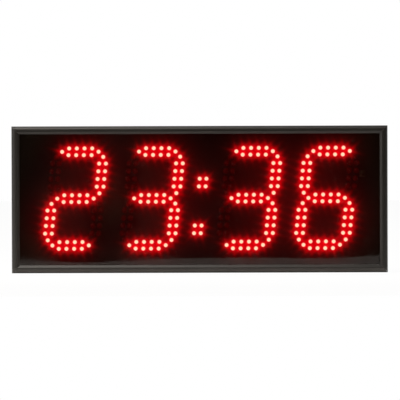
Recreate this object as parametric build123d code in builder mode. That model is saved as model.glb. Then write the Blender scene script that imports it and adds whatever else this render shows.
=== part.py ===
from build123d import *
import os
from math import cos, radians, sin, tan

# Gym round timer: a four-digit display of separate LEDs behind a smoked filter, in a
# mitred frame of extruded aluminium, with its controls on a recessed back cover.
#
# Millimetres. +X is the viewer's right, +Y runs from the front to the back, +Z is up.
# The origin is the middle of the case's base: the case stands on Z = 0 and its depth is
# centred on Y = 0. A "depth" is measured back from the front face of the frame, and a
# "reach" is measured inwards from the outer face of a rail.

# ---------------------------------------------------------------- driving dimensions
body_width = 372.0
body_height = 145.3
body_depth = 40.0

# fits
face_gap = 0.1
edge_gap = 0.5
screw_gap = 0.05
running_gap = 0.08
moving_gap = 0.3
mitre_gap = 0.1

# Small screws, and the holes that they fill, are drawn with this many sides.
screw_sides = 8
hexagon = 6

# rail extrusion
wall = 1.6
rib = 1.2
front_radius = 4.2
rear_radius = 0.8
crease_radius = 0.4
bevel_start_reach = 5.5
lip_reach = 7.8
lip_depth = 3.4
bevel_depth = 2.0
filter_ledge_reach = 7.0
board_slot_reach = 5.0
channel_width = 7.0
channel_reach = 4.8
channel_lip = 1.5
rim_wall = 2.0
cover_ledge = 1.5
cover_ledge_reach = 9.0

# corner keys
key_leg = 28.0
key_screw_radius = 1.9
key_screw_length = 4.4
key_screw_inset = 19.0

# filter and gasket
filter_thickness = 3.0
gasket_thickness = 0.8
gasket_reach = 6.4

# LEDs and their board
led_to_filter = 2.0
led_height = 8.6
led_radius = 2.5
led_sides = 6
led_tip_height = 2.2
board_thickness = 1.6

# display: a bar is two rows of LEDs with one more LED at each end
leds_per_row = 4
led_pitch = 7.62
row_gap = 6.65
end_led_offset = 18.05
bar_pitch = 46.4
slant_degrees = 6.14
digit_pitch = 76.2
middle_pitch = 96.4
display_offset_x = 1.4
display_offset_z = 1.0

# remote-control receiver, placed from the display's centre
receiver_offset_x = 160.0
receiver_offset_z = 23.9
receiver_width = 6.0
receiver_height = 6.6
receiver_body_depth = 4.6
receiver_lens_radius = 2.4
receiver_lens_height = 1.2
receiver_lens_sides = 12

# parts on the back of the LED board
driver_length = 9.9
driver_width = 3.9
driver_height = 1.6
driver_offset_z = 34.0
array_length = 5.1
array_width = 2.2
array_height = 0.6
array_offset_x = 5.5
array_offset_z = 26.0
socket_length = 30.5
socket_width = 5.0
socket_height = 4.4

# control board, its pillars and its screws
control_width = 136.0
control_height = 64.0
control_centre_z = 60.0
pillar_height = 8.3
pillar_across_flats = 5.5
pillar_inset = 5.0
board_screw_radius = 1.45
board_screw_length = 5.0
board_screw_head_radius = 2.7
board_screw_head = 1.7

# power inlet: this and all the parts below it are placed from the control board's centre
jack_x, jack_z = -46.0, -19.0
jack_side = 10.0
jack_nose_radius = 3.9
jack_nose_proud = 1.0
jack_bore_radius = 2.9
jack_bore_depth = 9.5
jack_pin_radius = 1.0
jack_pin_inset = 1.2

# power switch
switch_x, switch_z = -20.0, -18.0
switch_width = 9.6
switch_height = 14.5
switch_end_wall = 0.9
switch_floor_gap = 1.0
switch_bezel_width = 11.4
switch_bezel_height = 16.5
switch_bezel = 1.5
rocker_width = 6.6
rocker_half_length = 5.5
rocker_end_rise = 3.0
rocker_middle_rise = 1.6
rocker_foot_half_length = 4.8
rocker_foot_drop = 1.0
rocker_keel_half_length = 2.0
rocker_keel_drop = 3.4
rocker_tilt = 8.0
rocker_pin_radius = 1.2
rocker_pin_proud = 0.7

# setting buttons: long-stemmed key switches with caps
button_first_x, button_z = 8.0, -18.0
button_pitch = 15.0
button_side = 6.0
button_body_height = 3.8
button_stem_side = 2.8
button_stem_sunk = 1.4
button_stem_in_cap = 2.5
button_travel = 0.3
button_cap_side = 5.6
button_cap_depth = 4.4
button_cap_proud = 1.3

# small parts of the control board
controller_x, controller_z = 2.0, 10.0
controller_length = 17.9
controller_width = 7.5
controller_height = 2.3
crystal_x, crystal_z = 22.0, 10.0
crystal_length = 5.0
crystal_width = 3.2
crystal_height = 1.1
regulator_x, regulator_z = -44.0, 2.0
regulator_width = 6.6
regulator_length = 6.1
regulator_height = 2.3
regulator_tab_length = 3.2
regulator_tab_thickness = 0.6
capacitor_x, capacitor_z = -57.0, -4.0
capacitor_radius = 4.0
capacitor_height = 7.6
chip_length = 2.0
chip_width = 1.25
chip_height = 0.8
chip_clearance = 1.6
holder_x, holder_z = -26.0, 16.0
holder_side = 15.5
holder_height = 3.6
holder_floor = 1.0
cell_radius = 6.25
cell_thickness = 2.0
buzzer_x, buzzer_z = 46.0, 12.0
buzzer_radius = 6.0
buzzer_height = 7.4
buzzer_port_radius = 1.2
buzzer_port_sides = 8
buzzer_port_depth = 2.0

# back cover
cover_recess = 3.0
cover_thickness = 1.5
cover_gap = 0.3
panel_gap = 0.3
screw_end_inset = 36.0
screw_reach = 5.5
screw_radius = 1.45
screw_length = 6.5
screw_head_radius = 2.8
screw_head = 1.7
keyhole_spacing = 220.0
keyhole_drop = 34.0
keyhole_entry_radius = 4.0
keyhole_slot_width = 4.6
keyhole_slot_rise = 9.0
vent_length = 22.0
vent_width = 2.2
vent_pitch = 5.5
vent_rows = 6
vent_offset_x = 130.0
vent_centre_z = 60.0
sound_slot_length = 9.0
sound_slot_width = 1.6
sound_slot_pitch = 3.6
sound_slots = 3

# ---------------------------------------------------------------- worked-out places
middle_z = body_height / 2
display_z = middle_z + display_offset_z
gasket_depth = lip_depth + filter_thickness
filter_ledge_depth = gasket_depth + gasket_thickness
led_board_depth = gasket_depth + led_to_filter + led_height
led_board_back = led_board_depth + board_thickness
slot_front = led_board_depth - face_gap
slot_back = led_board_back + face_gap
channel_front = slot_back + rib
channel_back = channel_front + channel_width
channel_hook_reach = channel_reach + rib
cover_back = body_depth - cover_recess
cover_depth = cover_back - cover_thickness
cover_ledge_depth = cover_depth - cover_ledge
control_back = cover_depth - pillar_height
control_depth = control_back - board_thickness
corner_signs = [(-1, -1), (1, -1), (-1, 1), (1, 1)]


def at_depth(depth):
    """An upright plane that faces the front, at a depth behind the frame's front face."""
    return Plane.XZ.offset(body_depth / 2 - depth)


def on_board(x, z):
    """A point of the control board, given from the board's centre."""
    return (x, control_centre_z + z)


def write(piece, label):
    """Label a finished piece and write it as one STEP file."""
    piece.label = label
    export_step(piece, f"parts/{label}.step")


os.makedirs("parts", exist_ok=True)

# ---------------------------------------------------------------- frame rails
# One extrusion makes all four rails. Behind its rounded front edge and inner bevel it has
# grooves in turn for the filter, the LED board and the corner keys, then a ledge for the cover.
with BuildSketch() as rail_section:
    with BuildLine():
        Polyline(
            (0, 0),
            (body_depth, 0),
            (body_depth, rim_wall),
            (cover_depth, rim_wall),
            (cover_depth, cover_ledge_reach),
            (cover_ledge_depth, cover_ledge_reach),
            (cover_ledge_depth, wall),
            (channel_back + rib, wall),
            (channel_back + rib, channel_hook_reach),
            (channel_back - channel_lip, channel_hook_reach),
            (channel_back - channel_lip, channel_reach),
            (channel_back, channel_reach),
            (channel_back, wall),
            (channel_front, wall),
            (channel_front, channel_reach),
            (channel_front + channel_lip, channel_reach),
            (channel_front + channel_lip, channel_hook_reach),
            (slot_back, channel_hook_reach),
            (slot_back, wall),
            (slot_front, wall),
            (slot_front, board_slot_reach),
            (slot_front - rib, board_slot_reach),
            (slot_front - rib, wall),
            (filter_ledge_depth + rib, wall),
            (filter_ledge_depth + rib, filter_ledge_reach),
            (filter_ledge_depth, filter_ledge_reach),
            (filter_ledge_depth, wall),
            (lip_depth, wall),
            (lip_depth, lip_reach),
            (bevel_depth, lip_reach),
            (0, bevel_start_reach),
            close=True,
        )
    make_face()
    rounded_edges = {
        (0, 0): front_radius,
        (body_depth, 0): rear_radius,
        (0, bevel_start_reach): crease_radius,
        (bevel_depth, lip_reach): crease_radius,
    }
    for (depth, reach), radius in rounded_edges.items():
        fillet(rail_section.vertices().sort_by_distance((depth, reach))[0], radius)

# Each rail's section plane: where its outer face is, and the way that its length runs.
# On it, local X runs back through the depth and local Y runs inwards.
rail_planes = {
    "top": Plane(
        origin=(0, -body_depth / 2, body_height), x_dir=(0, 1, 0), z_dir=(-1, 0, 0)
    ),
    "bottom": Plane(
        origin=(0, -body_depth / 2, 0), x_dir=(0, 1, 0), z_dir=(1, 0, 0)
    ),
    "left": Plane(
        origin=(-body_width / 2, -body_depth / 2, middle_z), x_dir=(0, 1, 0), z_dir=(0, 0, -1)
    ),
    "right": Plane(
        origin=(body_width / 2, -body_depth / 2, middle_z), x_dir=(0, 1, 0), z_dir=(0, 0, 1)
    ),
}
screw_end_x = body_width / 2 - screw_end_inset
cover_screws = {
    "top": [(x, body_height - screw_reach) for x in (-screw_end_x, 0, screw_end_x)],
    "bottom": [(x, screw_reach) for x in (-screw_end_x, 0, screw_end_x)],
}


def mitres(section_plane, length):
    """The two 45 degree planes that end a rail, each facing out of it."""
    half = length / 2 - mitre_gap * cos(radians(45))
    return [
        Plane(
            origin=section_plane.origin + section_plane.z_dir * end * half,
            z_dir=section_plane.z_dir * end + section_plane.y_dir,
        )
        for end in (-1, 1)
    ]


for side, section_plane in rail_planes.items():
    length = body_width if side in ("top", "bottom") else body_height
    with BuildPart() as rail:
        with BuildSketch(section_plane):
            add(rail_section.sketch)
        extrude(amount=length / 2, both=True)
        for mitre in mitres(section_plane, length):
            split(bisect_by=mitre, keep=Keep.BOTTOM)
        if side in cover_screws:
            with BuildSketch(at_depth(cover_depth)):
                with Locations(*cover_screws[side]):
                    RegularPolygon(screw_radius + screw_gap, screw_sides)
            extrude(amount=cover_ledge, mode=Mode.SUBTRACT)
    write(rail.part, f"frame_{side}_rail")

# ---------------------------------------------------------------- corner keys
# An angle in the key channel of each corner, held by a grub screw in each leg.
key_floor = wall + face_gap
key_thickness = channel_reach - face_gap - key_floor
key_width = channel_width - 2 * face_gap
key_depth = channel_front + face_gap
key_screw_y = key_depth + key_width / 2 - body_depth / 2

key_screw_planes = []
for side_x, side_z in corner_signs:
    floor_x = side_x * (body_width / 2 - key_floor)
    floor_z = middle_z + side_z * (body_height / 2 - key_floor)
    screw_x = side_x * (body_width / 2 - key_screw_inset)
    screw_z = middle_z + side_z * (body_height / 2 - key_screw_inset)
    key_screw_planes += [
        Plane(origin=(screw_x, key_screw_y, floor_z), z_dir=(0, 0, -side_z)),
        Plane(origin=(floor_x, key_screw_y, screw_z), z_dir=(-side_x, 0, 0)),
    ]

with BuildPart() as corner_keys:
    with BuildSketch(at_depth(key_depth)):
        for side_x, side_z in corner_signs:
            outer_x = side_x * (body_width / 2 - key_floor)
            outer_z = middle_z + side_z * (body_height / 2 - key_floor)
            half_leg, half_thickness = key_leg / 2, key_thickness / 2
            with Locations((outer_x - side_x * half_leg, outer_z - side_z * half_thickness)):
                Rectangle(key_leg, key_thickness)
            with Locations((outer_x - side_x * half_thickness, outer_z - side_z * half_leg)):
                Rectangle(key_thickness, key_leg)
    extrude(amount=-key_width)
    for screw_plane in key_screw_planes:
        with BuildSketch(screw_plane):
            RegularPolygon(key_screw_radius + screw_gap, screw_sides)
        extrude(amount=key_thickness, mode=Mode.SUBTRACT)
write(corner_keys.part, "corner_keys")

with BuildPart() as key_grub_screws:
    for screw_plane in key_screw_planes:
        with BuildSketch(screw_plane):
            RegularPolygon(key_screw_radius, screw_sides)
        extrude(amount=key_screw_length)
write(key_grub_screws.part, "key_grub_screws")

# ---------------------------------------------------------------- filter and gasket
pane_width = body_width - 2 * (wall + edge_gap)
pane_height = body_height - 2 * (wall + edge_gap)

with BuildPart() as front_filter:
    with BuildSketch(at_depth(lip_depth)):
        with Locations((0, middle_z)):
            Rectangle(pane_width, pane_height)
    extrude(amount=-filter_thickness)
write(front_filter.part, "front_filter")

with BuildPart() as filter_gasket:
    with BuildSketch(at_depth(gasket_depth)):
        with Locations((0, middle_z)):
            Rectangle(pane_width, pane_height)
            Rectangle(
                body_width - 2 * gasket_reach,
                body_height - 2 * gasket_reach,
                mode=Mode.SUBTRACT,
            )
    extrude(amount=-gasket_thickness)
write(filter_gasket.part, "filter_gasket")

# ---------------------------------------------------------------- LED board
with BuildPart() as led_board:
    with BuildSketch(at_depth(led_board_depth)):
        with Locations((0, middle_z)):
            Rectangle(pane_width, pane_height)
    extrude(amount=-board_thickness)
write(led_board.part, "led_board")


# ---------------------------------------------------------------- LEDs
def bar_points(centre_x, centre_z, upright):
    """The LEDs of one bar, lying flat or standing upright about its centre."""
    along_row = [led_pitch * (i - (leds_per_row - 1) / 2) for i in range(leds_per_row)]
    points = [(along, side * row_gap / 2) for along in along_row for side in (-1, 1)]
    points += [(-end_led_offset, 0), (end_led_offset, 0)]
    if upright:
        points = [(across, along) for along, across in points]
    return [(centre_x + x, centre_z + z) for x, z in points]


def digit_points():
    """The LEDs of a seven-bar digit about its own centre, before it is slanted."""
    points = []
    for level in (-1, 0, 1):
        points += bar_points(0, level * bar_pitch, upright=False)
    for side in (-1, 1):
        for level in (-1, 1):
            points += bar_points(side * bar_pitch / 2, level * bar_pitch / 2, upright=True)
    return points


def colon_points():
    """Two blocks of four LEDs, level with the lower rows of the upright bars."""
    rows = [
        level * bar_pitch / 2 - led_pitch * (i + 0.5)
        for level in (-1, 1)
        for i in range(leds_per_row // 2)
    ]
    return [(side * row_gap / 2, z) for side in (-1, 1) for z in rows]


def on_display(points, centre_x):
    """Lean a group of LEDs by the display's slant and move it to its place."""
    slant = tan(radians(slant_degrees))
    left = display_offset_x + centre_x
    return [(left + x + slant * z, display_z + z) for x, z in points]


# One LED, standing on the board at the middle of its lower edge: a barrel and a closed tip.
led_shoulder_depth = led_board_depth - led_height + led_tip_height
led_tip = at_depth(led_board_depth - led_height).origin
with BuildPart() as led:
    with BuildSketch(at_depth(led_board_depth)):
        RegularPolygon(led_radius, led_sides)
    extrude(amount=led_height - led_tip_height)
    with BuildSketch(at_depth(led_shoulder_depth)) as shoulder:
        RegularPolygon(led_radius, led_sides)
    loft([shoulder.sketch.face(), Vertex(*led_tip)], ruled=True)


def make_leds(label, points):
    """A group of LEDs that stand on the board."""
    with BuildPart() as leds:
        with Locations(*[(x, 0, z) for x, z in points]):
            add(led.part)
    write(leds.part, label)


units_x = middle_pitch / 2
tens_x = units_x + digit_pitch
digit_centres = {
    "minutes_tens_leds": -tens_x,
    "minutes_units_leds": -units_x,
    "seconds_tens_leds": units_x,
    "seconds_units_leds": tens_x,
}
for label, centre_x in digit_centres.items():
    make_leds(label, on_display(digit_points(), centre_x))
make_leds("colon_leds", on_display(colon_points(), 0))

# ---------------------------------------------------------------- remote-control receiver
receiver_centre = (display_offset_x + receiver_offset_x, display_z + receiver_offset_z)
with BuildPart() as remote_receiver:
    with BuildSketch(at_depth(led_board_depth)):
        with Locations(receiver_centre):
            Rectangle(receiver_width, receiver_height)
    extrude(amount=receiver_body_depth)
    with BuildSketch(at_depth(led_board_depth - receiver_body_depth)):
        with Locations(receiver_centre):
            RegularPolygon(receiver_lens_radius, receiver_lens_sides)
    extrude(amount=receiver_lens_height)
write(remote_receiver.part, "remote_receiver")

# ---------------------------------------------------------------- LED drivers
with BuildPart() as led_drivers:
    with BuildSketch(at_depth(led_board_back)):
        for centre_x in digit_centres.values():
            with Locations((display_offset_x + centre_x, display_z + driver_offset_z)):
                Rectangle(driver_length, driver_width)
    extrude(amount=-driver_height)
write(led_drivers.part, "led_drivers")

# Resistor arrays that set the LEDs' current, two below each driver.
with BuildPart() as resistor_arrays:
    with BuildSketch(at_depth(led_board_back)):
        for centre_x in digit_centres.values():
            for side in (-1, 1):
                array_x = display_offset_x + centre_x + side * array_offset_x
                with Locations((array_x, display_z + array_offset_z)):
                    Rectangle(array_length, array_width)
    extrude(amount=-array_height)
write(resistor_arrays.part, "resistor_arrays")

# ---------------------------------------------------------------- board connector
with BuildPart() as board_socket:
    with BuildSketch(at_depth(led_board_back)):
        with Locations(on_board(0, 0)):
            Rectangle(socket_length, socket_width)
    extrude(amount=-socket_height)
write(board_socket.part, "board_socket")

with BuildPart() as board_header:
    with BuildSketch(at_depth(control_depth)):
        with Locations(on_board(0, 0)):
            Rectangle(socket_length, socket_width)
    extrude(amount=control_depth - led_board_back - socket_height)
write(board_header.part, "board_header")

# ---------------------------------------------------------------- control board
pillar_points = [
    on_board(side_x * (control_width / 2 - pillar_inset), side_z * (control_height / 2 - pillar_inset))
    for side_x, side_z in corner_signs
]

with BuildPart() as control_board:
    with BuildSketch(at_depth(control_depth)):
        with Locations(on_board(0, 0)):
            Rectangle(control_width, control_height)
        with Locations(*pillar_points):
            RegularPolygon(board_screw_radius + screw_gap, screw_sides, mode=Mode.SUBTRACT)
    extrude(amount=-board_thickness)
write(control_board.part, "control_board")

with BuildPart() as control_pillars:
    with BuildSketch(at_depth(control_back)):
        with Locations(*pillar_points):
            RegularPolygon(pillar_across_flats / 2, hexagon, major_radius=False)
            RegularPolygon(board_screw_radius + screw_gap, screw_sides, mode=Mode.SUBTRACT)
    extrude(amount=-pillar_height)
write(control_pillars.part, "control_pillars")

with BuildPart() as control_board_screws:
    with BuildSketch(at_depth(control_depth)):
        with Locations(*pillar_points):
            RegularPolygon(board_screw_head_radius, screw_sides)
    extrude(amount=board_screw_head)
    with BuildSketch(at_depth(control_depth)):
        with Locations(*pillar_points):
            RegularPolygon(board_screw_radius, screw_sides)
    extrude(amount=-board_screw_length)
write(control_board_screws.part, "control_board_screws")

# ---------------------------------------------------------------- power inlet
jack_mouth = cover_back + jack_nose_proud
jack_floor = jack_mouth - jack_bore_depth

with BuildPart() as power_jack:
    with BuildSketch(at_depth(control_back)):
        with Locations(on_board(jack_x, jack_z)):
            Rectangle(jack_side, jack_side)
    extrude(amount=control_back - cover_depth)
    with BuildSketch(at_depth(cover_depth)):
        with Locations(on_board(jack_x, jack_z)):
            Circle(jack_nose_radius)
    extrude(amount=cover_depth - jack_mouth)
    with BuildSketch(at_depth(jack_mouth)):
        with Locations(on_board(jack_x, jack_z)):
            Circle(jack_bore_radius)
    extrude(amount=jack_bore_depth, mode=Mode.SUBTRACT)
write(power_jack.part, "power_jack")

with BuildPart() as power_jack_pin:
    with BuildSketch(at_depth(jack_floor)):
        with Locations(on_board(jack_x, jack_z)):
            Circle(jack_pin_radius)
    extrude(amount=jack_floor - jack_mouth + jack_pin_inset)
write(power_jack_pin.part, "power_jack_pin")

# ---------------------------------------------------------------- power switch
# The rocker turns on two pins in the body's side walls. Its outline is drawn level about
# the pins, on a plane that is tilted so that the upper end is pressed in at rest.
pivot_x, pivot_z = on_board(switch_x, switch_z)
pivot = (pivot_x, cover_depth - body_depth / 2, pivot_z)
tilt = radians(rocker_tilt)
pivot_plane = Plane(origin=pivot, x_dir=(0, 1, 0), z_dir=(1, 0, 0))
rocker_plane = Plane(origin=pivot, x_dir=(0, cos(tilt), sin(tilt)), z_dir=(1, 0, 0))
bezel_back = cover_back + switch_bezel
cavity_front = cover_depth - rocker_keel_drop - switch_floor_gap

with BuildPart() as power_switch_body:
    with BuildSketch(at_depth(control_back)):
        with Locations((pivot_x, pivot_z)):
            Rectangle(switch_width, switch_height)
    extrude(amount=control_back - cover_back)
    with BuildSketch(at_depth(cover_back)):
        with Locations((pivot_x, pivot_z)):
            Rectangle(switch_bezel_width, switch_bezel_height)
    extrude(amount=-switch_bezel)
    with BuildSketch(at_depth(bezel_back)):
        with Locations((pivot_x, pivot_z)):
            Rectangle(rocker_width + 2 * moving_gap, switch_height - 2 * switch_end_wall)
    extrude(amount=bezel_back - cavity_front, mode=Mode.SUBTRACT)
    with BuildSketch(pivot_plane):
        Circle(rocker_pin_radius + running_gap)
    extrude(
        amount=rocker_width / 2 + rocker_pin_proud + moving_gap,
        both=True,
        mode=Mode.SUBTRACT,
    )
write(power_switch_body.part, "power_switch_body")

with BuildPart() as power_rocker:
    with BuildSketch(rocker_plane):
        with BuildLine():
            Polyline(
                (-rocker_keel_drop, -rocker_keel_half_length),
                (-rocker_foot_drop, -rocker_foot_half_length),
                (rocker_end_rise, -rocker_half_length),
                (rocker_middle_rise, 0),
                (rocker_end_rise, rocker_half_length),
                (-rocker_foot_drop, rocker_foot_half_length),
                (-rocker_keel_drop, rocker_keel_half_length),
                close=True,
            )
        make_face()
    extrude(amount=rocker_width / 2, both=True)
    with BuildSketch(rocker_plane):
        Circle(rocker_pin_radius)
    extrude(amount=rocker_width / 2 + rocker_pin_proud, both=True)
write(power_rocker.part, "power_rocker")

# ---------------------------------------------------------------- setting buttons
button_names = ("set", "up", "down")
button_points = [on_board(button_first_x + button_pitch * i, button_z) for i in range(len(button_names))]
button_top = control_back + button_body_height
stem_foot = button_top - button_stem_sunk
cap_back = cover_back + button_cap_proud
cap_front = cap_back - button_cap_depth
stem_end = cap_front + button_stem_in_cap

with BuildPart() as button_switches:
    with BuildSketch(at_depth(control_back)):
        with Locations(*button_points):
            Rectangle(button_side, button_side)
    extrude(amount=-button_body_height)
    with BuildSketch(at_depth(button_top)):
        with Locations(*button_points):
            Rectangle(button_stem_side + 2 * running_gap, button_stem_side + 2 * running_gap)
    extrude(amount=button_stem_sunk + button_travel + moving_gap, mode=Mode.SUBTRACT)
write(button_switches.part, "button_switches")

for name, point in zip(button_names, button_points):
    with BuildPart() as stem:
        with BuildSketch(at_depth(stem_foot)):
            with Locations(point):
                Rectangle(button_stem_side, button_stem_side)
        extrude(amount=stem_foot - stem_end)
    write(stem.part, f"{name}_button_stem")

    with BuildPart() as cap:
        with BuildSketch(at_depth(cap_front)):
            with Locations(point):
                Rectangle(button_cap_side, button_cap_side)
        extrude(amount=-button_cap_depth)
        with BuildSketch(at_depth(cap_front)):
            with Locations(point):
                Rectangle(button_stem_side + 2 * screw_gap, button_stem_side + 2 * screw_gap)
        extrude(amount=-button_stem_in_cap, mode=Mode.SUBTRACT)
    write(cap.part, f"{name}_button_cap")

# ---------------------------------------------------------------- small board parts
with BuildPart() as timer_controller:
    with BuildSketch(at_depth(control_back)):
        with Locations(on_board(controller_x, controller_z)):
            Rectangle(controller_length, controller_width)
    extrude(amount=-controller_height)
write(timer_controller.part, "timer_controller")

with BuildPart() as clock_crystal:
    with BuildSketch(at_depth(control_back)):
        with Locations(on_board(crystal_x, crystal_z)):
            Rectangle(crystal_width, crystal_length)
    extrude(amount=-crystal_height)
write(clock_crystal.part, "clock_crystal")

# Chip capacitors: three along each long side of the controller, and one at each end of
# the crystal.
controller_rise = (controller_width + chip_width) / 2 + chip_clearance
crystal_rise = (crystal_length + chip_width) / 2 + chip_clearance
chip_points = [
    on_board(controller_x + step * controller_length / 3, controller_z + side * controller_rise)
    for step in (-1, 0, 1)
    for side in (-1, 1)
]
chip_points += [on_board(crystal_x, crystal_z + side * crystal_rise) for side in (-1, 1)]
with BuildPart() as chip_capacitors:
    with BuildSketch(at_depth(control_back)):
        with Locations(*chip_points):
            Rectangle(chip_length, chip_width)
    extrude(amount=-chip_height)
write(chip_capacitors.part, "chip_capacitors")

with BuildPart() as voltage_regulator:
    with BuildSketch(at_depth(control_back)):
        with Locations(on_board(regulator_x, regulator_z)):
            Rectangle(regulator_width, regulator_length)
    extrude(amount=-regulator_height)
    tab_z = regulator_z + (regulator_length + regulator_tab_length) / 2
    with BuildSketch(at_depth(control_back)):
        with Locations(on_board(regulator_x, tab_z)):
            Rectangle(regulator_width, regulator_tab_length)
    extrude(amount=-regulator_tab_thickness)
write(voltage_regulator.part, "voltage_regulator")

with BuildPart() as supply_capacitor:
    with BuildSketch(at_depth(control_back)):
        with Locations(on_board(capacitor_x, capacitor_z)):
            Circle(capacitor_radius)
    extrude(amount=-capacitor_height)
write(supply_capacitor.part, "supply_capacitor")

# ---------------------------------------------------------------- clock battery
cell_depth = control_back + holder_floor
with BuildPart() as cell_holder:
    with BuildSketch(at_depth(control_back)):
        with Locations(on_board(holder_x, holder_z)):
            Rectangle(holder_side, holder_side)
    extrude(amount=-holder_height)
    with BuildSketch(at_depth(cell_depth)):
        with Locations(on_board(holder_x, holder_z)):
            Circle(cell_radius + moving_gap)
    extrude(amount=holder_floor - holder_height, mode=Mode.SUBTRACT)
write(cell_holder.part, "cell_holder")

with BuildPart() as clock_cell:
    with BuildSketch(at_depth(cell_depth)):
        with Locations(on_board(holder_x, holder_z)):
            Circle(cell_radius)
    extrude(amount=-cell_thickness)
write(clock_cell.part, "clock_cell")

# ---------------------------------------------------------------- buzzer
with BuildPart() as buzzer:
    with BuildSketch(at_depth(control_back)):
        with Locations(on_board(buzzer_x, buzzer_z)):
            Circle(buzzer_radius)
    extrude(amount=-buzzer_height)
    with BuildSketch(at_depth(control_back + buzzer_height)):
        with Locations(on_board(buzzer_x, buzzer_z)):
            RegularPolygon(buzzer_port_radius, buzzer_port_sides)
    extrude(amount=buzzer_port_depth, mode=Mode.SUBTRACT)
write(buzzer.part, "buzzer")

# ---------------------------------------------------------------- back cover
keyhole_z = body_height - keyhole_drop
keyhole_points = [(-keyhole_spacing / 2, keyhole_z), (keyhole_spacing / 2, keyhole_z)]
all_cover_screws = [point for points in cover_screws.values() for point in points]
cover_reach = rim_wall + cover_gap

with BuildPart() as back_cover:
    with BuildSketch(at_depth(cover_depth)):
        with Locations((0, middle_z)):
            Rectangle(body_width - 2 * cover_reach, body_height - 2 * cover_reach)
        with Locations(*all_cover_screws):
            RegularPolygon(screw_radius + screw_gap, screw_sides, mode=Mode.SUBTRACT)
        with Locations(*keyhole_points):
            Circle(keyhole_entry_radius, mode=Mode.SUBTRACT)
        for x, z in keyhole_points:
            with Locations((x, z + keyhole_slot_rise / 2)):
                Rectangle(keyhole_slot_width, keyhole_slot_rise, mode=Mode.SUBTRACT)
            with Locations((x, z + keyhole_slot_rise)):
                Circle(keyhole_slot_width / 2, mode=Mode.SUBTRACT)
        with Locations((-vent_offset_x, vent_centre_z), (vent_offset_x, vent_centre_z)):
            with GridLocations(0, vent_pitch, 1, vent_rows):
                Rectangle(vent_length, vent_width, mode=Mode.SUBTRACT)
        with Locations(on_board(buzzer_x, buzzer_z)):
            with GridLocations(0, sound_slot_pitch, 1, sound_slots):
                Rectangle(sound_slot_length, sound_slot_width, mode=Mode.SUBTRACT)
        with Locations(on_board(jack_x, jack_z)):
            Circle(jack_nose_radius + panel_gap, mode=Mode.SUBTRACT)
        with Locations((pivot_x, pivot_z)):
            Rectangle(
                switch_width + 2 * panel_gap,
                switch_height + 2 * panel_gap,
                mode=Mode.SUBTRACT,
            )
        with Locations(*button_points):
            Rectangle(
                button_cap_side + 2 * moving_gap,
                button_cap_side + 2 * moving_gap,
                mode=Mode.SUBTRACT,
            )
    extrude(amount=-cover_thickness)
write(back_cover.part, "back_cover")

with BuildPart() as back_cover_screws:
    with BuildSketch(at_depth(cover_back)):
        with Locations(*all_cover_screws):
            Circle(screw_head_radius)
    extrude(amount=-screw_head)
    with BuildSketch(at_depth(cover_back)):
        with Locations(*all_cover_screws):
            RegularPolygon(screw_radius, screw_sides)
    extrude(amount=screw_length)
write(back_cover_screws.part, "back_cover_screws")
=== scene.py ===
import math

import bmesh
import bpy
import numpy as np
from mathutils import Matrix, Vector


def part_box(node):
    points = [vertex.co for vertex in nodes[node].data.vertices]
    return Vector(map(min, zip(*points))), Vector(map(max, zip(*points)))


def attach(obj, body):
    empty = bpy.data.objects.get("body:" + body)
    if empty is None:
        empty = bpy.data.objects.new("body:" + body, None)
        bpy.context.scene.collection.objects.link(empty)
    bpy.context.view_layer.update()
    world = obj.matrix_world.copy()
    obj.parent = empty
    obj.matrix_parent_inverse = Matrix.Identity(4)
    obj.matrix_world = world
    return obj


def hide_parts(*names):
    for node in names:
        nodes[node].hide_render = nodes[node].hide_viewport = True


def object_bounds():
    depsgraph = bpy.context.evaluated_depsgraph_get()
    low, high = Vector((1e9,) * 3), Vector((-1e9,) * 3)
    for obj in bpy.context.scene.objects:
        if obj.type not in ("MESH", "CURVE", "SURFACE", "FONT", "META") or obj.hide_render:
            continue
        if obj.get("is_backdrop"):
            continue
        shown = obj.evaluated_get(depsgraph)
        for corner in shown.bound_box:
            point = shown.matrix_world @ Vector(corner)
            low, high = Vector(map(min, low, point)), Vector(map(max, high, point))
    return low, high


# Gym round timer: four LED digits behind a smoked pane in a slim black frame, standing
# near the front edge of a white table. Metres; +X is the viewer's right, -Y is the front.
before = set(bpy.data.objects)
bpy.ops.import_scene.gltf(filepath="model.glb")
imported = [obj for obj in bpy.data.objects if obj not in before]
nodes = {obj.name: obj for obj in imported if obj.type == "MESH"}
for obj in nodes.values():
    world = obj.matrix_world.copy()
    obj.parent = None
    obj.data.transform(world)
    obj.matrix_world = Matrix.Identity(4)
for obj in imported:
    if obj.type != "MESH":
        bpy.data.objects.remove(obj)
cad_low, cad_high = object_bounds()
mm = 0.001
centre_z = (cad_low.z + cad_high.z) / 2
front_y = cad_low.y

# ---------------------------------------------------------------- camera
view_distance = 4.0
view_width = 0.3953
view_turn = math.radians(0.6)
view_tilt = math.radians(1.0)
view_roll = math.radians(0.18)
view_shift = (0.0012, -0.0014)
view_reach = 50.0
sensor_width = 36.0

camera_data = bpy.data.cameras.new("camera")
camera_data.sensor_width = sensor_width
camera_data.lens = sensor_width * view_distance / view_width
camera_data.clip_end = view_reach
camera_data.shift_x, camera_data.shift_y = view_shift
camera = bpy.data.objects.new("camera", camera_data)
bpy.context.scene.collection.objects.link(camera)
target = Vector((0, front_y, centre_z))
away = Vector(
    (
        math.sin(view_turn) * math.cos(view_tilt),
        -math.cos(view_turn) * math.cos(view_tilt),
        math.sin(view_tilt),
    )
)
camera.location = target + away * view_distance
facing = (-away).to_track_quat("-Z", "Y")
camera.rotation_euler = (facing.to_matrix() @ Matrix.Rotation(-view_roll, 3, "Z")).to_euler()
bpy.context.scene.camera = camera
bpy.context.scene.view_settings.view_transform = "Standard"


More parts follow.
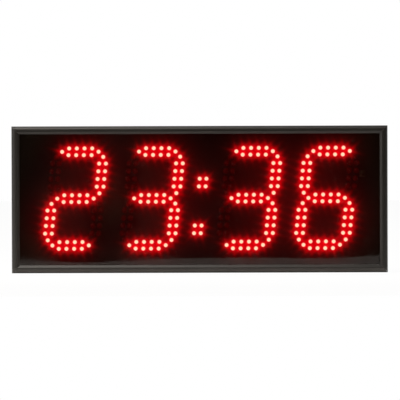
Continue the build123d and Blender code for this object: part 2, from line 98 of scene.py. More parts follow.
# ---------------------------------------------------------------- node helpers
def plug(tree, socket, value):
    """Link a socket to an input, or write a plain value in it."""
    if isinstance(value, bpy.types.NodeSocket):
        tree.links.new(value, socket)
    elif isinstance(value, (tuple, list)) and socket.type == "RGBA" and len(value) == 3:
        socket.default_value = (*value, 1)
    else:
        socket.default_value = value


def node(tree, kind, inputs=None, **settings):
    """A shader node with its settings and its inputs, by name or by number."""
    made = tree.nodes.new("ShaderNode" + kind)
    for key, value in settings.items():
        setattr(made, key, value)
    for key, value in (inputs or {}).items():
        plug(tree, made.inputs[key], value)
    return made


def sums(tree, operation, *values):
    """One Math node's output."""
    return node(tree, "Math", dict(enumerate(values)), operation=operation).outputs[0]


def ramp(tree, value, low, high, to_low=0.0, to_high=1.0, smooth=False):
    """A value carried from one range to another and held between its ends."""
    made = node(
        tree,
        "MapRange",
        {"Value": value, "From Min": low, "From Max": high, "To Min": to_low, "To Max": to_high},
        interpolation_type="SMOOTHSTEP" if smooth else "LINEAR",
    )
    return made.outputs["Result"]


def blend_colours(tree, factor, first, second):
    """The first colour where the factor is 0, and the second where it is 1."""
    made = node(tree, "Mix", {0: factor}, data_type="RGBA")
    # The node has sockets for each type of data. These are the ones for colours.
    plug(tree, made.inputs[6], first)
    plug(tree, made.inputs[7], second)
    return made.outputs[2]


def noise(tree, place, scale, detail=2.0, stretch=(1, 1, 1)):
    """Fractal noise in the piece's own metres, stretched along its axes."""
    spread = node(tree, "Mapping", {"Vector": place, "Scale": stretch}).outputs[0]
    made = node(tree, "TexNoise", {"Vector": spread, "Scale": scale, "Detail": detail})
    return made.outputs[0]


def colour_ramp(tree, value, stops):
    """The colour at a value, by stops that are each a position and a colour, in order."""
    made = node(tree, "ValToRGB", {"Fac": value})
    elements = made.color_ramp.elements
    for element, (position, colour) in zip(elements, (stops[0], stops[-1])):
        element.position, element.color = position, (*colour, 1)
    for position, colour in stops[1:-1]:
        elements.new(position).color = (*colour, 1)
    return made.outputs[0]


def new_material(name):
    """A material with an empty tree, and that tree."""
    material = bpy.data.materials.new(name)
    material.use_nodes = True
    material.node_tree.nodes.clear()
    return material, material.node_tree


def shade(colour, by):
    """A colour made lighter or darker."""
    return tuple(min(1.0, channel * by) for channel in colour)


# Noise scales, in features to the metre, and how much the noise changes the gloss.
broad_scale, scuff_scale, wave_scale = 28.0, 210.0, 230.0
fine_in_gloss, broad_in_gloss = 0.12, 0.1
# An edge is where the rounded and the flat normal differ. These are the cosines between
# them where it starts to be rubbed and where it is rubbed most, and the noise's ends.
edge_from, edge_full = 0.995, 0.86
scuff_from, scuff_full = 0.42, 0.68


def finish(
    name,
    colour,
    roughness,
    metallic=0.0,
    grain=900.0,
    stretch=(1, 1, 1),
    relief=0.01,
    mottle=0.2,
    wear=0.0,
    worn=(0.3, 0.3, 0.3),
    wear_radius=0.25,
    specular=0.5,
    ripple=0.0,
    pattern=None,
):
    """A solid surface: fine grain in its relief and gloss, slow changes of colour, and
    edges rubbed down to a paler colour. relief, ripple and wear_radius are in millimetres.
    ripple is the height of the slow waves that a sprayed coat dries with, and pattern
    returns the surface's colour and height from its place, its colour and its grain."""
    material, tree = new_material(name)
    place = node(tree, "TexCoord").outputs["Object"]
    fine = noise(tree, place, grain, 3.0, stretch)
    broad = noise(tree, place, broad_scale, 4.0)
    base = blend_colours(
        tree, ramp(tree, broad, 0.3, 0.7), shade(colour, 1 - mottle), shade(colour, 1 + mottle)
    )
    height = fine
    rounded = node(tree, "Bevel", {"Radius": wear_radius * mm}, samples=6).outputs[0]
    if pattern:
        base, height = pattern(tree, place, base, fine)
    if wear:
        flat = node(tree, "NewGeometry").outputs["Normal"]
        aligned = node(tree, "VectorMath", {0: rounded, 1: flat}, operation="DOT_PRODUCT")
        edge = ramp(tree, aligned.outputs["Value"], edge_from, edge_full)
        scuffed = ramp(tree, noise(tree, place, scuff_scale, 5.0), scuff_from, scuff_full)
        rubbed = sums(tree, "MULTIPLY", sums(tree, "MULTIPLY", edge, scuffed), wear)
        base = blend_colours(tree, rubbed, base, worn)
    uneven = sums(tree, "MULTIPLY_ADD", fine, fine_in_gloss, sums(tree, "MULTIPLY", broad, broad_in_gloss))
    gloss = sums(tree, "ADD", uneven, roughness - (fine_in_gloss + broad_in_gloss) / 2)
    if ripple:
        waves = noise(tree, place, wave_scale, 1.0)
        rippled = node(tree, "Bump", {"Height": waves, "Distance": ripple * mm, "Normal": rounded})
        rounded = rippled.outputs[0]
    bump = node(tree, "Bump", {"Height": height, "Distance": relief * mm, "Normal": rounded})
    surface = node(
        tree,
        "BsdfPrincipled",
        {
            "Base Color": base,
            "Roughness": gloss,
            "Metallic": metallic,
            "Specular IOR Level": specular,
            "Normal": bump.outputs[0],
        },
    )
    node(tree, "OutputMaterial", {"Surface": surface.outputs[0]})
    return material


# How far tracks and grains of powder stand out, as multiples of the surface's grain.
track_height, powder_height = 2.0, 0.5


def tracks(colour):
    """A pattern of copper tracks that show through a circuit board's solder mask."""

    def draw(tree, place, base, fine):
        spread = node(tree, "Mapping", {"Vector": place, "Rotation": (math.radians(90), 0, 0)})
        runs = node(
            tree,
            "TexBrick",
            {
                "Vector": spread.outputs[0],
                "Scale": 190.0,
                "Mortar Size": 0.07,
                "Mortar Smooth": 0.3,
                "Brick Width": 1.7,
                "Row Height": 0.42,
            },
        )
        runs.offset = 0.37
        line = runs.outputs["Fac"]
        height = sums(tree, "MULTIPLY_ADD", line, track_height, fine)
        return blend_colours(tree, line, base, colour), height

    return draw


powder_scale, powder_patch_scale = 2100.0, 300.0
powder_grey, powder_paleness = (0.06, 0.059, 0.058), 0.6


def sprayed(tree, place, base, fine):
    """Grains of powder that have melted into a coat, some of them standing proud."""
    grains = ramp(tree, noise(tree, place, powder_scale, 1.0), 0.56, 0.7, smooth=True)
    patches = ramp(tree, noise(tree, place, powder_patch_scale, 2.0), 0.35, 0.65)
    sparse = sums(tree, "MULTIPLY", grains, patches)
    speckled = blend_colours(tree, sums(tree, "MULTIPLY", sparse, powder_paleness), base, powder_grey)
    return speckled, sums(tree, "MULTIPLY_ADD", grains, powder_height, fine)


die_line_grey, foot_paler_grey = (0.04, 0.039, 0.038), (0.052, 0.05, 0.048)
die_line_paleness = 0.16
paling_top, paling_full = 6.5 * mm, 1.0 * mm
paling_scale, paling_stretch = 90.0, (0.35, 1, 1)


def lined_paler_foot(tree, place, base, fine):
    """Faint lines of the extrusion's die, and the case paler in patches over its lowest
    millimetres."""
    lines = ramp(tree, fine, 0.25, 0.75, 0.0, die_line_paleness)
    lined = blend_colours(tree, lines, base, die_line_grey)
    height = node(tree, "SeparateXYZ", {0: place}).outputs[2]
    paling_patches = ramp(tree, noise(tree, place, paling_scale, 4.0, paling_stretch), 0.3, 0.7, 0.6, 1.0)
    low_down = ramp(tree, height, paling_top, paling_full, smooth=True)
    return blend_colours(tree, sums(tree, "MULTIPLY", low_down, paling_patches), lined, foot_paler_grey), fine


# ---------------------------------------------------------------- finishes of the slots
anodised = {
    "colour": (0.009, 0.0084, 0.0077),
    "roughness": 0.38,
    "grain": 420.0,
    "relief": 0.009,
    "mottle": 0.12,
    "wear": 0.35,
    "worn": (0.11, 0.11, 0.112),
    "wear_radius": 0.35,
    "pattern": lined_paler_foot,
}
along_x = finish("anodised_along_x", stretch=(0.02, 3, 3), **anodised)
along_z = finish("anodised_along_z", stretch=(3, 3, 0.02), **anodised)
finishes = {
    "black_anodised_aluminium": along_x,
    "zinc_steel": finish(
        "zinc_steel", (0.5, 0.5, 0.48), 0.34, metallic=1.0, grain=1500.0, relief=0.004, wear=0.2
    ),
    "foam_gasket": finish("foam_gasket", (0.012, 0.012, 0.012), 0.9, grain=2600.0, relief=0.12),
    "black_circuit_board": finish(
        "black_solder_mask",
        (0.006, 0.006, 0.0065),
        0.38,
        relief=0.01,
        pattern=tracks((0.013, 0.012, 0.011)),
    ),
    "green_circuit_board": finish(
        "green_solder_mask",
        (0.006, 0.07, 0.028),
        0.34,
        relief=0.015,
        pattern=tracks((0.02, 0.16, 0.06)),
    ),
    "chip_epoxy": finish("chip_epoxy", (0.014, 0.014, 0.016), 0.55, grain=2200.0, relief=0.02),
    "connector_plastic": finish(
        "connector_plastic",
        (0.016, 0.016, 0.016),
        0.48,
        grain=1600.0,
        relief=0.012,
        wear=0.3,
        worn=(0.07, 0.07, 0.07),
    ),
    "ceramic_chip": finish("ceramic_chip", (0.42, 0.31, 0.19), 0.4, grain=3000.0, relief=0.006),
    "brass_pillar": finish(
        "turned_brass", (0.62, 0.42, 0.16), 0.3, metallic=1.0, grain=900.0, stretch=(1, 6, 1), relief=0.01
    ),
    "nickel_contact": finish(
        "nickel_plate", (0.66, 0.64, 0.6), 0.24, metallic=1.0, grain=1100.0, relief=0.004
    ),
    "switch_plastic": finish(
        "switch_plastic",
        (0.008, 0.008, 0.0085),
        0.24,
        grain=1900.0,
        relief=0.02,
        wear=0.6,
        worn=(0.12, 0.12, 0.12),
    ),
    "button_plastic": finish(
        "button_plastic",
        (0.085, 0.085, 0.088),
        0.45,
        grain=2100.0,
        relief=0.04,
        wear=0.5,
        worn=(0.2, 0.2, 0.2),
    ),
    "capacitor_can": finish("sleeved_can", (0.02, 0.022, 0.04), 0.32, grain=700.0, relief=0.006),
    "buzzer_plastic": finish("buzzer_plastic", (0.012, 0.012, 0.012), 0.45, grain=1800.0, relief=0.012),
    "black_painted_sheet": finish(
        "powder_coat",
        (0.017, 0.017, 0.0175),
        0.46,
        grain=1250.0,
        relief=0.17,
        mottle=0.22,
        wear=0.7,
        worn=(0.2, 0.195, 0.19),
        wear_radius=0.45,
        specular=0.4,
        ripple=0.08,
        pattern=sprayed,
    ),
    "black_screw": finish(
        "black_oxide",
        (0.045, 0.045, 0.048),
        0.36,
        metallic=0.8,
        grain=1300.0,
        relief=0.006,
        wear=0.6,
        worn=(0.35, 0.34, 0.33),
    ),
}
# The receiver's olive tint, paler than black epoxy, is a painted glint on it.
receiver_epoxy_painted_glint = finish(
    "receiver_epoxy_painted_glint", (0.05, 0.052, 0.022), 0.3, grain=500.0, relief=0.004, specular=0.8
)
for piece in nodes.values():
    for place in piece.material_slots:
        if place.material and place.material.name in finishes:
            place.material = finishes[place.material.name]
for side in ("frame_left_rail", "frame_right_rail"):
    nodes[side].material_slots[0].material = along_z


# ---------------------------------------------------------------- mesh helpers
crease_angle = math.radians(38)
corner_steps = 6


def new_piece(name, points, faces, body, materials):
    """A smooth mesh that rides on a body."""
    mesh = bpy.data.meshes.new(name)
    mesh.from_pydata([tuple(p) for p in points], [], [tuple(f) for f in faces])
    mesh.polygons.foreach_set("use_smooth", [True] * len(mesh.polygons))
    for material in materials:
        mesh.materials.append(material)
    mesh.update()
    piece = bpy.data.objects.new(name, mesh)
    bpy.context.scene.collection.objects.link(piece)
    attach(piece, body)
    return piece


def closed_piece(name, stacks, body, material):
    """A piece of closed skins. Each is a stack of outlines with one number of points."""
    points, faces = [], []
    for outlines in stacks:
        first, count = len(points), len(outlines[0])
        for outline in outlines:
            points += outline
        for start in range(first, first + (len(outlines) - 1) * count, count):
            for i in range(count):
                a, b = start + i, start + (i + 1) % count
                faces.append((a, b, b + count, a + count))
        faces.append(tuple(range(first, first + count)))
        faces.append(tuple(range(len(points) - count, len(points))))
    piece = new_piece(name, points, faces, body, [material])
    shell = bmesh.new()
    shell.from_mesh(piece.data)
    bmesh.ops.recalc_face_normals(shell, faces=shell.faces)
    shell.to_mesh(piece.data)
    shell.free()
    piece.data.set_sharp_from_angle(angle=crease_angle)
    return piece


def circle(x, y, z, radius, turns):
    """An upright outline about (x, z) at one depth."""
    return [(x + radius * math.cos(t), y, z + radius * math.sin(t)) for t in turns]


def rounded_box(x, y, z, half_x, half_z, corner):
    """An upright rectangle about (x, z) at one depth, with its corners rounded."""
    outline = []
    for quarter, (side_x, side_z) in enumerate(((1, 1), (-1, 1), (-1, -1), (1, -1))):
        corner_x = x + side_x * (half_x - corner)
        corner_z = z + side_z * (half_z - corner)
        for step in range(corner_steps + 1):
            turn = math.radians(90) * (quarter + step / corner_steps)
            outline.append((corner_x + corner * math.cos(turn), y, corner_z + corner * math.sin(turn)))
    return outline


def middle(low, high):
    """The x and z of a box's middle."""
    return (low.x + high.x) / 2, (low.z + high.z) / 2


# ---------------------------------------------------------------- which LEDs are lit
# A numeral's bars are named as on any seven-segment digit. Each has its middle, as a share
# of the pitch between bars, and whether it stands upright.
bar_pitch = 46.4 * mm
slant = math.tan(math.radians(6.14))
bar_half_length, bar_half_width = 18.3 * mm, 3.6 * mm
bars = {
    "A": (0, 1, False),
    "B": (0.5, 0.5, True),
    "C": (0.5, -0.5, True),
    "D": (0, -1, False),
    "E": (-0.5, -0.5, True),
    "F": (-0.5, 0.5, True),
    "G": (0, 0, False),
}
numerals = {"2": "ABGED", "3": "ABGCD", "6": "ACDEFG"}
shown = {
    "minutes_tens_leds": "2",
    "minutes_units_leds": "3",
    "colon_leds": None,
    "seconds_tens_leds": "3",
    "seconds_units_leds": "6",
}
tip_depth = 0.01 * mm


def led_places(name):
    """Where a group's LEDs stand, as (x, z), from the tips of its CAD solids."""
    points = np.array([v.co for v in nodes[name].data.vertices])
    tips = points[points[:, 1] < points[:, 1].min() + tip_depth]
    return np.unique(np.round(tips[:, [0, 2]], 5), axis=0)


def is_lit(name, x, z):
    """Whether the numeral that a group shows lights the LED at this place."""
    if shown[name] is None:
        return True
    middle_x, middle_z = middle(*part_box(name))
    across = x - middle_x - slant * (z - middle_z)
    up = z - middle_z
    for label in numerals[shown[name]]:
        bar_x, bar_z, upright = bars[label]
        reach = (abs(across - bar_x * bar_pitch), abs(up - bar_z * bar_pitch))
        along, aside = reach[::-1] if upright else reach
        if along < bar_half_length and aside < bar_half_width:
            return True
    return False


# ---------------------------------------------------------------- LEDs
led_radius = 2.5 * mm
led_sides = 20
dome_rings = 6
cloud_scale, cloud_relief = 650.0, 0.01 * mm
pane_clearness = 0.32
# The flange, from the board up, as the radius and the rise of each turn of its profile.
flange_radius = 2.9 * mm
flange = [
    (flange_radius - 0.1 * mm, 0),
    (flange_radius, 0.1 * mm),
    (flange_radius, 0.9 * mm),
    (flange_radius - 0.12 * mm, 1.0 * mm),
    (led_radius, 1.05 * mm),
]


def led_material(name, glow, strength):
    """Tinted epoxy. glow maps the distance from the LED's axis, as a share of its radius,
    to the light it gives off: its own light when lit, and a painted glow of its neighbours'
    light when unlit."""
    material, tree = new_material(name)
    place = node(tree, "TexCoord").outputs["Object"]
    axial = node(tree, "Attribute", attribute_name="axial").outputs["Fac"]
    cloud = noise(tree, place, cloud_scale, 2.0)
    bump = node(tree, "Bump", {"Height": cloud, "Distance": cloud_relief})
    epoxy = node(
        tree,
        "BsdfPrincipled",
        {
            "Base Color": blend_colours(tree, cloud, (0.09, 0.003, 0.003), (0.14, 0.005, 0.004)),
            "Roughness": ramp(tree, cloud, 0, 1, 0.2, 0.34),
            "Specular IOR Level": 0.2,
            "Normal": bump.outputs[0],
            "Emission Color": colour_ramp(tree, axial, glow),
            "Emission Strength": strength,
        },
    )
    node(tree, "OutputMaterial", {"Surface": epoxy.outputs[0]})
    material.cycles.emission_sampling = "NONE"
    return material


# The light is given as it is seen through the pane, so the pane's clearness divides it.
lit_epoxy = led_material(
    "lit_epoxy",
    [
        (0.0, (1.0, 0.8, 0.5)),
        (0.48, (1.0, 0.76, 0.49)),
        (0.64, (0.6, 0.6, 0.46)),
        (0.75, (0.16, 0.2, 0.17)),
        (0.85, (0.02, 0.035, 0.033)),
        (1.0, (0.0, 0.0, 0.0)),
    ],
    1.12 / pane_clearness,
)
# An unlit LED's faint red glow is painted light: its neighbours' light, scattered in its epoxy.
unlit_epoxy_painted_glow = led_material(
    "unlit_epoxy_painted_glow",
    [(0.0, (0.012, 0.0, 0.0002)), (0.6, (0.009, 0.0, 0.0001)), (1.0, (0.004, 0.0, 0.0))],
    1.0 / pane_clearness,
)

led_epoxies = [lit_epoxy, unlit_epoxy_painted_glow]
lit_places = []
for name in shown:
    low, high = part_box(name)
    base_y, height = high.y, high.y - low.y
    profile = list(flange)
    for ring in range(dome_rings):
        turn = math.radians(90) * ring / dome_rings
        rise = height - led_radius + led_radius * math.sin(turn)
        profile.append((led_radius * math.cos(turn), rise))
    points, faces, axial, lights = [], [], [], []
    for x, z in led_places(name):
        lit = is_lit(name, x, z)
        if lit:
            lit_places.append((x, z))
        first = len(points)
        for radius, rise in profile:
            for i in range(led_sides):
                turn = math.tau * i / led_sides
                # One side of the flange is cut flat, as it is beside a real LED's cathode.
                across = min(radius * math.cos(turn), led_radius)
                points.append((x + across, base_y - rise, z + radius * math.sin(turn)))
                axial.append(min(1.0, radius / led_radius))
        points.append((x, base_y - height, z))
        axial.append(0.0)
        top = first + (len(profile) - 1) * led_sides
        for ring in range(first, top, led_sides):
            for i in range(led_sides):
                a, b = ring + i, ring + (i + 1) % led_sides
                faces.append((a, b, b + led_sides, a + led_sides))
        faces += [(top + i, top + (i + 1) % led_sides, len(points) - 1) for i in range(led_sides)]
        faces.append(tuple(range(first + led_sides - 1, first - 1, -1)))
        lights += [lit] * (len(faces) - len(lights))
    domes = new_piece(
        name.replace("_leds", "_domes"), points, faces, "case", led_epoxies
    )
    domes.data.attributes.new("axial", "FLOAT", "POINT").data.foreach_set("value", axial)
    domes.data.polygons.foreach_set("material_index", [0 if lit else 1 for lit in lights])
    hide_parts(name)

# ---------------------------------------------------------------- remote receiver
# A moulded block with a shallow domed lens on its front. Its shoulders are a list of how
# far inward and how far back they go, in millimetres.
block_corner = 0.6 * mm
block_shoulders = [(0, 0.35), (0.12, 0.12), (0.35, 0)]
lens_radius, lens_rise, lens_sunk = 2.4 * mm, 1.2 * mm, 0.2 * mm
lens_rings, lens_sides = 7, 32

low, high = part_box("remote_receiver")
x, z = middle(low, high)
half_x, half_z = (high.x - low.x) / 2, (high.z - low.z) / 2
block_front = low.y + lens_rise
block = [rounded_box(x, high.y, z, half_x, half_z, block_corner)]
for inward, back in block_shoulders:
    sides = (half_x - inward * mm, half_z - inward * mm)
    block.append(rounded_box(x, block_front + back * mm, z, *sides, block_corner))
turns = [math.tau * i / lens_sides for i in range(lens_sides)]
curve = (lens_radius**2 + lens_rise**2) / (2 * lens_rise)
widest = math.asin(lens_radius / curve)
dome = [circle(x, block_front + lens_sunk, z, lens_radius, turns)]
for ring in range(lens_rings):
    turn = widest * (1 - ring / lens_rings)
    dome.append(circle(x, low.y + curve * (1 - math.cos(turn)), z, curve * math.sin(turn), turns))
receiver = closed_piece("receiver_lens", [block, dome], "case", receiver_epoxy_painted_glint)
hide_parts("remote_receiver")

# ---------------------------------------------------------------- cover screws
# Pan heads with a cross recess. The head is a list of radii and of rises from its seat,
# in millimetres. The recess is a list of depths in millimetres and of shares of its size.
head_radius, shank_radius = 2.8 * mm, 1.45 * mm
shank_point_radius, shank_point_length = 0.6 * mm, 0.8 * mm
pan_head = [(2.66, 0), (2.8, 0.12), (2.8, 0.7), (2.7, 1.05), (2.42, 1.38), (2.02, 1.6), (1.72, 1.68)]
recess = [(0, 1.0), (0.1, 0.93), (0.95, 0.72), (1.2, 0.2)]
arm_half_width, arm_half_length = 0.45 * mm, 1.55 * mm
arm_turn = math.atan2(arm_half_width, arm_half_length)
# The outlines' turns: an eighth of a circle, then mirrored and repeated.
eighth = [0, arm_turn / 2, arm_turn, 0.45, 0.62, math.radians(45)]
quarter_turns = eighth + [math.radians(90) - turn for turn in eighth[-2:0:-1]]
turns = [math.radians(90) * quarter + turn for quarter in range(4) for turn in quarter_turns]
almost_nothing = 1e-9


def cross(x, y, z, scale):
    """The outline of a cross recess at one depth, one point to each turn."""
    outline = []
    for turn in turns:
        side, rise = (max(abs(part), almost_nothing) for part in (math.cos(turn), math.sin(turn)))
        level_arm = min(arm_half_width / rise, arm_half_length / side)
        upright_arm = min(arm_half_width / side, arm_half_length / rise)
        reach = scale * max(level_arm, upright_arm)
        outline.append((x + reach * math.cos(turn), y, z + reach * math.sin(turn)))
    return outline


low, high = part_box("back_cover_screws")
seat_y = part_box("back_cover")[1].y
stacks = []
for x in (low.x + head_radius, 0, high.x - head_radius):
    for z in (low.z + head_radius, high.z - head_radius):
        screw = [
            circle(x, low.y, z, shank_point_radius, turns),
            circle(x, low.y + shank_point_length, z, shank_radius, turns),
            circle(x, seat_y, z, shank_radius, turns),
        ]
        screw += [circle(x, seat_y + rise * mm, z, radius * mm, turns) for radius, rise in pan_head]
        screw += [cross(x, high.y - depth * mm, z, scale) for depth, scale in recess]
        stacks.append(screw)
screws = closed_piece("cover_screws", stacks, "case", finishes["black_screw"])
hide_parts("back_cover_screws")

# ---------------------------------------------------------------- button caps
# Each cap has rounded corners, a rolled rim and a top dished for a fingertip. The rim and
# the dish are lists of how far inward and how far back they go, in millimetres.
cap_corner, corner_share = 0.9 * mm, 0.9
cap_rim = [(0, 0.45), (0.06, 0.22), (0.2, 0.07), (0.42, 0), (0.75, 0.02)]
cap_dish = [(1.1, 0.09), (1.5, 0.17), (1.9, 0.23), (2.3, 0.26)]
for name in ("set_button", "up_button", "down_button"):
    low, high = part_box(name + "_cap")
    x, z = middle(low, high)
    half = (high.x - low.x) / 2
    rings = [rounded_box(x, low.y, z, half, half, cap_corner)]
    for inward, back in cap_rim + cap_dish:
        size = half - inward * mm
        corner = min(cap_corner, size * corner_share)
        rings.append(rounded_box(x, high.y - back * mm, z, size, size, corner))
    cap = closed_piece(name + "_dished", [rings], name, finishes["button_plastic"])
    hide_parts(name + "_cap")

# ---------------------------------------------------------------- smoked pane
# Painted light: the pane's back face glows with each lit LED's light as though scattered
# in the acrylic, as a soft halo and a six-rayed star of glare. Each term of the halo is a
# strength and a spread. The first is negative and paints a dark ring of shade round each
# LED. Spreads, and the star's width and length, are in millimetres. The painted light is
# red, with a share of blue.
halo = [(-0.95, 1.6), (0.112, 2.0), (0.42, 2.8), (0.0031, 10.0), (0.0014, 18.0), (0.0001, 34.0)]
halo_blue = 0.005
star_rays, star_turn = 6, math.radians(45)
star_strength, star_width, star_length = 0.8, 0.95, 3.0
star_reach = 8 * star_length
star_unevenness, star_seed = 0.25, 11
pane_pitch = 1.05 * mm

# The acrylic bows back, further at a dent and less at a crown and at its right end. Each
# has its depth in millimetres, and its place and its spread along the pane in metres.
bow_depth = 0.25
dent_depth, dent_x, dent_spread = 0.49, -0.113, 0.044
crown_depth, crown_x, crown_spread = 0.06, 0.04, 0.05
end_depth, end_x, end_spread = 0.22, 0.155, 0.008


def painted_pane_glow(x, z):
    """The painted glow at each place of the pane's back, with its painted dark rings."""
    total = np.zeros_like(x)
    chance = np.random.default_rng(star_seed)
    for led_x, led_z in lit_places:
        right, up = (x - led_x) / mm, (z - led_z) / mm
        square = right**2 + up**2
        for strength, spread in halo:
            total += strength * np.exp(-square / (2 * spread**2))
        near = square < star_reach**2
        for ray in range(star_rays):
            turn = star_turn + math.tau * ray / star_rays
            along = right[near] * math.cos(turn) + up[near] * math.sin(turn)
            aside = up[near] * math.cos(turn) - right[near] * math.sin(turn)
            bright = star_strength * chance.uniform(1 - star_unevenness, 1 + star_unevenness)
            shape = np.exp(-(aside**2) / (2 * star_width**2) - np.abs(along) / star_length)
            total[near] += bright * np.where(along > 0, shape, 0)
    return total


def pane_bow(x, z):
    """How far the acrylic bows back between its edges, in metres."""
    dent = dent_depth * np.exp(-(((x - dent_x) / dent_spread) ** 2))
    crown = crown_depth * np.exp(-(((x - crown_x) / crown_spread) ** 2))
    end = end_depth / (1 + np.exp((end_x - x) / end_spread))
    rise = (z - cad_low.z) / (cad_high.z - cad_low.z)
    return mm * (bow_depth + dent - crown - end) * np.sin(math.pi * rise) ** 2


def grid_line(start, stop):
    """Even steps of about the pane's pitch between two edges."""
    return np.linspace(start, stop, round((stop - start) / pane_pitch) + 1)


low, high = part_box("front_filter")
across, upward = grid_line(low.x, high.x), grid_line(low.z, high.z)
grid_x, grid_z = (g.ravel() for g in np.meshgrid(across, upward))
columns, rows, sheet_size = len(across), len(upward), len(grid_x)
front_points = np.stack([grid_x, low.y + pane_bow(grid_x, grid_z), grid_z], 1)
back_points = np.stack([grid_x, np.full(sheet_size, high.y), grid_z], 1)
faces = []
for row in range(rows - 1):
    for column in range(columns - 1):
        a = row * columns + column
        quad = (a, a + 1, a + 1 + columns, a + columns)
        faces.append(quad)
        faces.append(tuple(sheet_size + v for v in quad[::-1]))
rim = (
    [i for i in range(columns)]
    + [row * columns + columns - 1 for row in range(1, rows)]
    + [(rows - 1) * columns + column for column in range(columns - 2, -1, -1)]
    + [row * columns for row in range(rows - 2, 0, -1)]
)
for a, b in zip(rim, rim[1:] + rim[:1]):
    faces.append((b, a, a + sheet_size, b + sheet_size))

# Light crosses the pane's two faces, so each takes the square root of the whole tint. The
# painted glow is given off by the back face, and so it crosses one of them.
acrylic_colour, acrylic_ior = (1, 0.97, 0.95), 1.49
smear_scale, smear_tint = 34.0, 0.01
hairline_scale, hairline_relief = 300.0, 0.00012 * mm
per_face = math.sqrt(pane_clearness)
acrylic, tree = new_material("smoked_acrylic")
place = node(tree, "TexCoord").outputs["Object"]
smear = noise(tree, place, smear_scale, 5.0, (1, 1, 2.5))
hairline = noise(tree, place, hairline_scale, 2.0, (0.15, 1, 4))
darker = shade(acrylic_colour, per_face * (1 - smear_tint))
paler = shade(acrylic_colour, per_face * (1 + smear_tint))
clear = node(tree, "BsdfTransparent", {"Color": blend_colours(tree, smear, darker, paler)})
bump = node(tree, "Bump", {"Height": hairline, "Distance": hairline_relief})
gloss = node(
    tree,
    "BsdfAnisotropic",
    {
        "Color": (1.0, 1.0, 1.0),
        "Roughness": ramp(tree, smear, 0.35, 0.75, 0.02, 0.07),
        "Normal": bump.outputs[0],
    },
    distribution="GGX",
)
mirror = node(tree, "Fresnel", {"IOR": acrylic_ior}).outputs[0]
outside = sums(tree, "SUBTRACT", 1.0, node(tree, "NewGeometry").outputs["Backfacing"])
mirrored = sums(tree, "MULTIPLY", mirror, outside)
shine = node(tree, "MixShader", {0: mirrored, 1: clear.outputs[0], 2: gloss.outputs[0]})
# Painted light: the back face glows with the halo and star drawn round each lit LED, with a painted dark
# ring at each.
glow = node(tree, "Attribute", attribute_name="glow").outputs["Color"]
painted_scatter = node(tree, "Emission", {"Color": glow, "Strength": 1.0 / per_face})
both = node(tree, "AddShader", {0: shine.outputs[0], 1: painted_scatter.outputs[0]})
node(tree, "OutputMaterial", {"Surface": both.outputs[0]})
acrylic.cycles.emission_sampling = "NONE"

points = np.concatenate([front_points, back_points])
pane = new_piece("smoked_pane", points, faces, "case", [acrylic])
# The painted glow and its dark rings go into the back face's colours.
strength = painted_pane_glow(grid_x, grid_z)
colours = np.zeros((2 * sheet_size, 4), np.float32)
colours[:, 3] = 1
colours[sheet_size:, 0] = strength
colours[sheet_size:, 2] = strength * halo_blue
pane.data.attributes.new("glow", "FLOAT_COLOR", "POINT").data.foreach_set("color", colours.ravel())
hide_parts("front_filter")

# ---------------------------------------------------------------- stage
# The table is white to the camera. Reflections see its paint, darkened by painted shade near
# its front edge, up to one y, and pale from another.
table_front, table_back, table_half_width = -0.57, 4.0, 3.0
table_drop = 0.2 * mm
painted_shade_until, paint_from = -0.42, -0.1
table_painted_shade, table_pale, table_palest = (0.5, 0.48, 0.46), (0.88, 0.87, 0.86), (0.92, 0.91, 0.9)
fleck_scale = 60.0
table_whiteness = 0.96

white, tree = new_material("white_table")
place = node(tree, "TexCoord").outputs["Object"]
fleck = noise(tree, place, fleck_scale, 3.0)
painted = blend_colours(tree, fleck, table_pale, table_palest)
depth = node(tree, "SeparateXYZ", {0: place}).outputs[1]
# Painted shade: the paint darkens towards the table's front edge, so the pane mirrors it dimmer there.
clear_of_painted_shade = ramp(tree, depth, painted_shade_until, paint_from, smooth=True)
paint = node(tree, "BsdfDiffuse", {"Color": blend_colours(tree, clear_of_painted_shade, table_painted_shade, painted)})
bright = node(tree, "Emission", {"Color": (1.0, 1.0, 1.0), "Strength": 1.0})
seen = node(tree, "LightPath").outputs["Is Camera Ray"]
whitened = sums(tree, "MULTIPLY", seen, table_whiteness)
lift = node(tree, "MixShader", {0: whitened, 1: paint.outputs[0], 2: bright.outputs[0]})
node(tree, "OutputMaterial", {"Surface": lift.outputs[0]})
white.cycles.emission_sampling = "NONE"

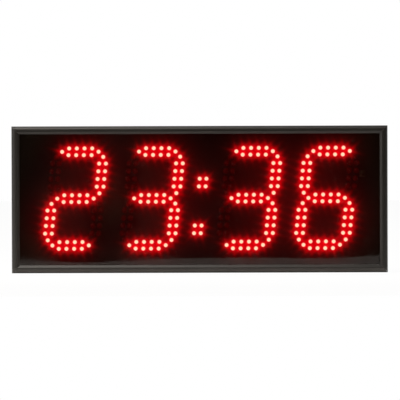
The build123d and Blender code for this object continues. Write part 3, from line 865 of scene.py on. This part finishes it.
mesh = bpy.data.meshes.new("table")
corners = [
    (-table_half_width, table_front, -table_drop),
    (table_half_width, table_front, -table_drop),
    (table_half_width, table_back, -table_drop),
    (-table_half_width, table_back, -table_drop),
]
mesh.from_pydata(corners, [], [(0, 1, 2, 3)])
mesh.materials.append(white)
table = bpy.data.objects.new("table", mesh)
bpy.context.scene.collection.objects.link(table)
table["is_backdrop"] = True

# ---------------------------------------------------------------- world
# White to the camera. For reflections it is a dim room in front of the table, with a few
# upright bands that the pane mirrors, and a plain grey behind. The grey comes in along the
# y of a direction's unit vector, and the bands are spread along its x, from left to right.
behind_grey = (0.5, 0.5, 0.5)
behind_from, behind_full = -0.2, 0.35
band_reach = 0.06
bands = [
    (0.1, (0.08, 0.058, 0.032)),
    (0.14, (0.019, 0.011, 0.0075)),
    (0.19, (0.019, 0.011, 0.0075)),
    (0.22, (0.07, 0.05, 0.036)),
    (0.27, (0.066, 0.046, 0.032)),
    (0.31, (0.017, 0.01, 0.006)),
    (0.66, (0.019, 0.011, 0.0075)),
    (0.75, (0.046, 0.033, 0.015)),
]

world = bpy.data.worlds.new("studio")
bpy.context.scene.world = world
world.use_nodes = True
tree = world.node_tree
tree.nodes.clear()
direction = node(tree, "SeparateXYZ", {0: node(tree, "TexCoord").outputs["Generated"]})
behind = ramp(tree, direction.outputs[1], behind_from, behind_full, smooth=True)
in_front = colour_ramp(tree, ramp(tree, direction.outputs[0], -band_reach, band_reach), bands)
room = blend_colours(tree, behind, in_front, behind_grey)
seen = node(tree, "LightPath").outputs["Is Camera Ray"]
sky = node(tree, "Background", {"Color": blend_colours(tree, seen, room, (1.0, 1.0, 1.0)), "Strength": 1.0})
node(tree, "OutputWorld", {"Surface": sky.outputs[0]})


# ---------------------------------------------------------------- lights
def soft_light(name, place, size, radiance, colour, aim):
    """A rectangular light of this radiance, aimed at a point."""
    data = bpy.data.lights.new(name, "AREA")
    data.shape = "RECTANGLE"
    data.size, data.size_y = size
    data.energy = radiance * math.pi * size[0] * size[1]
    data.color = colour
    made = bpy.data.objects.new(name, data)
    made.location = place
    made.rotation_euler = (Vector(aim) - Vector(place)).to_track_quat("-Z", "Y").to_euler()
    bpy.context.scene.collection.objects.link(made)


at_timer = (0, 0, 0.07)
soft_light("overhead", (-0.95, -0.7, 1.4), (1.3, 2.0), 5.3, (1.0, 0.93, 0.85), (-0.4, -0.5, 0))
soft_light("left", (-2.0, -1.2, 0.7), (1.0, 1.0), 2.0, (0.98, 0.99, 1.0), at_timer)
soft_light("rear", (1.3, 1.5, 1.3), (0.9, 0.9), 4.5, (1.0, 0.97, 0.93), at_timer)

# ---------------------------------------------------------------- finish
low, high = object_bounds()
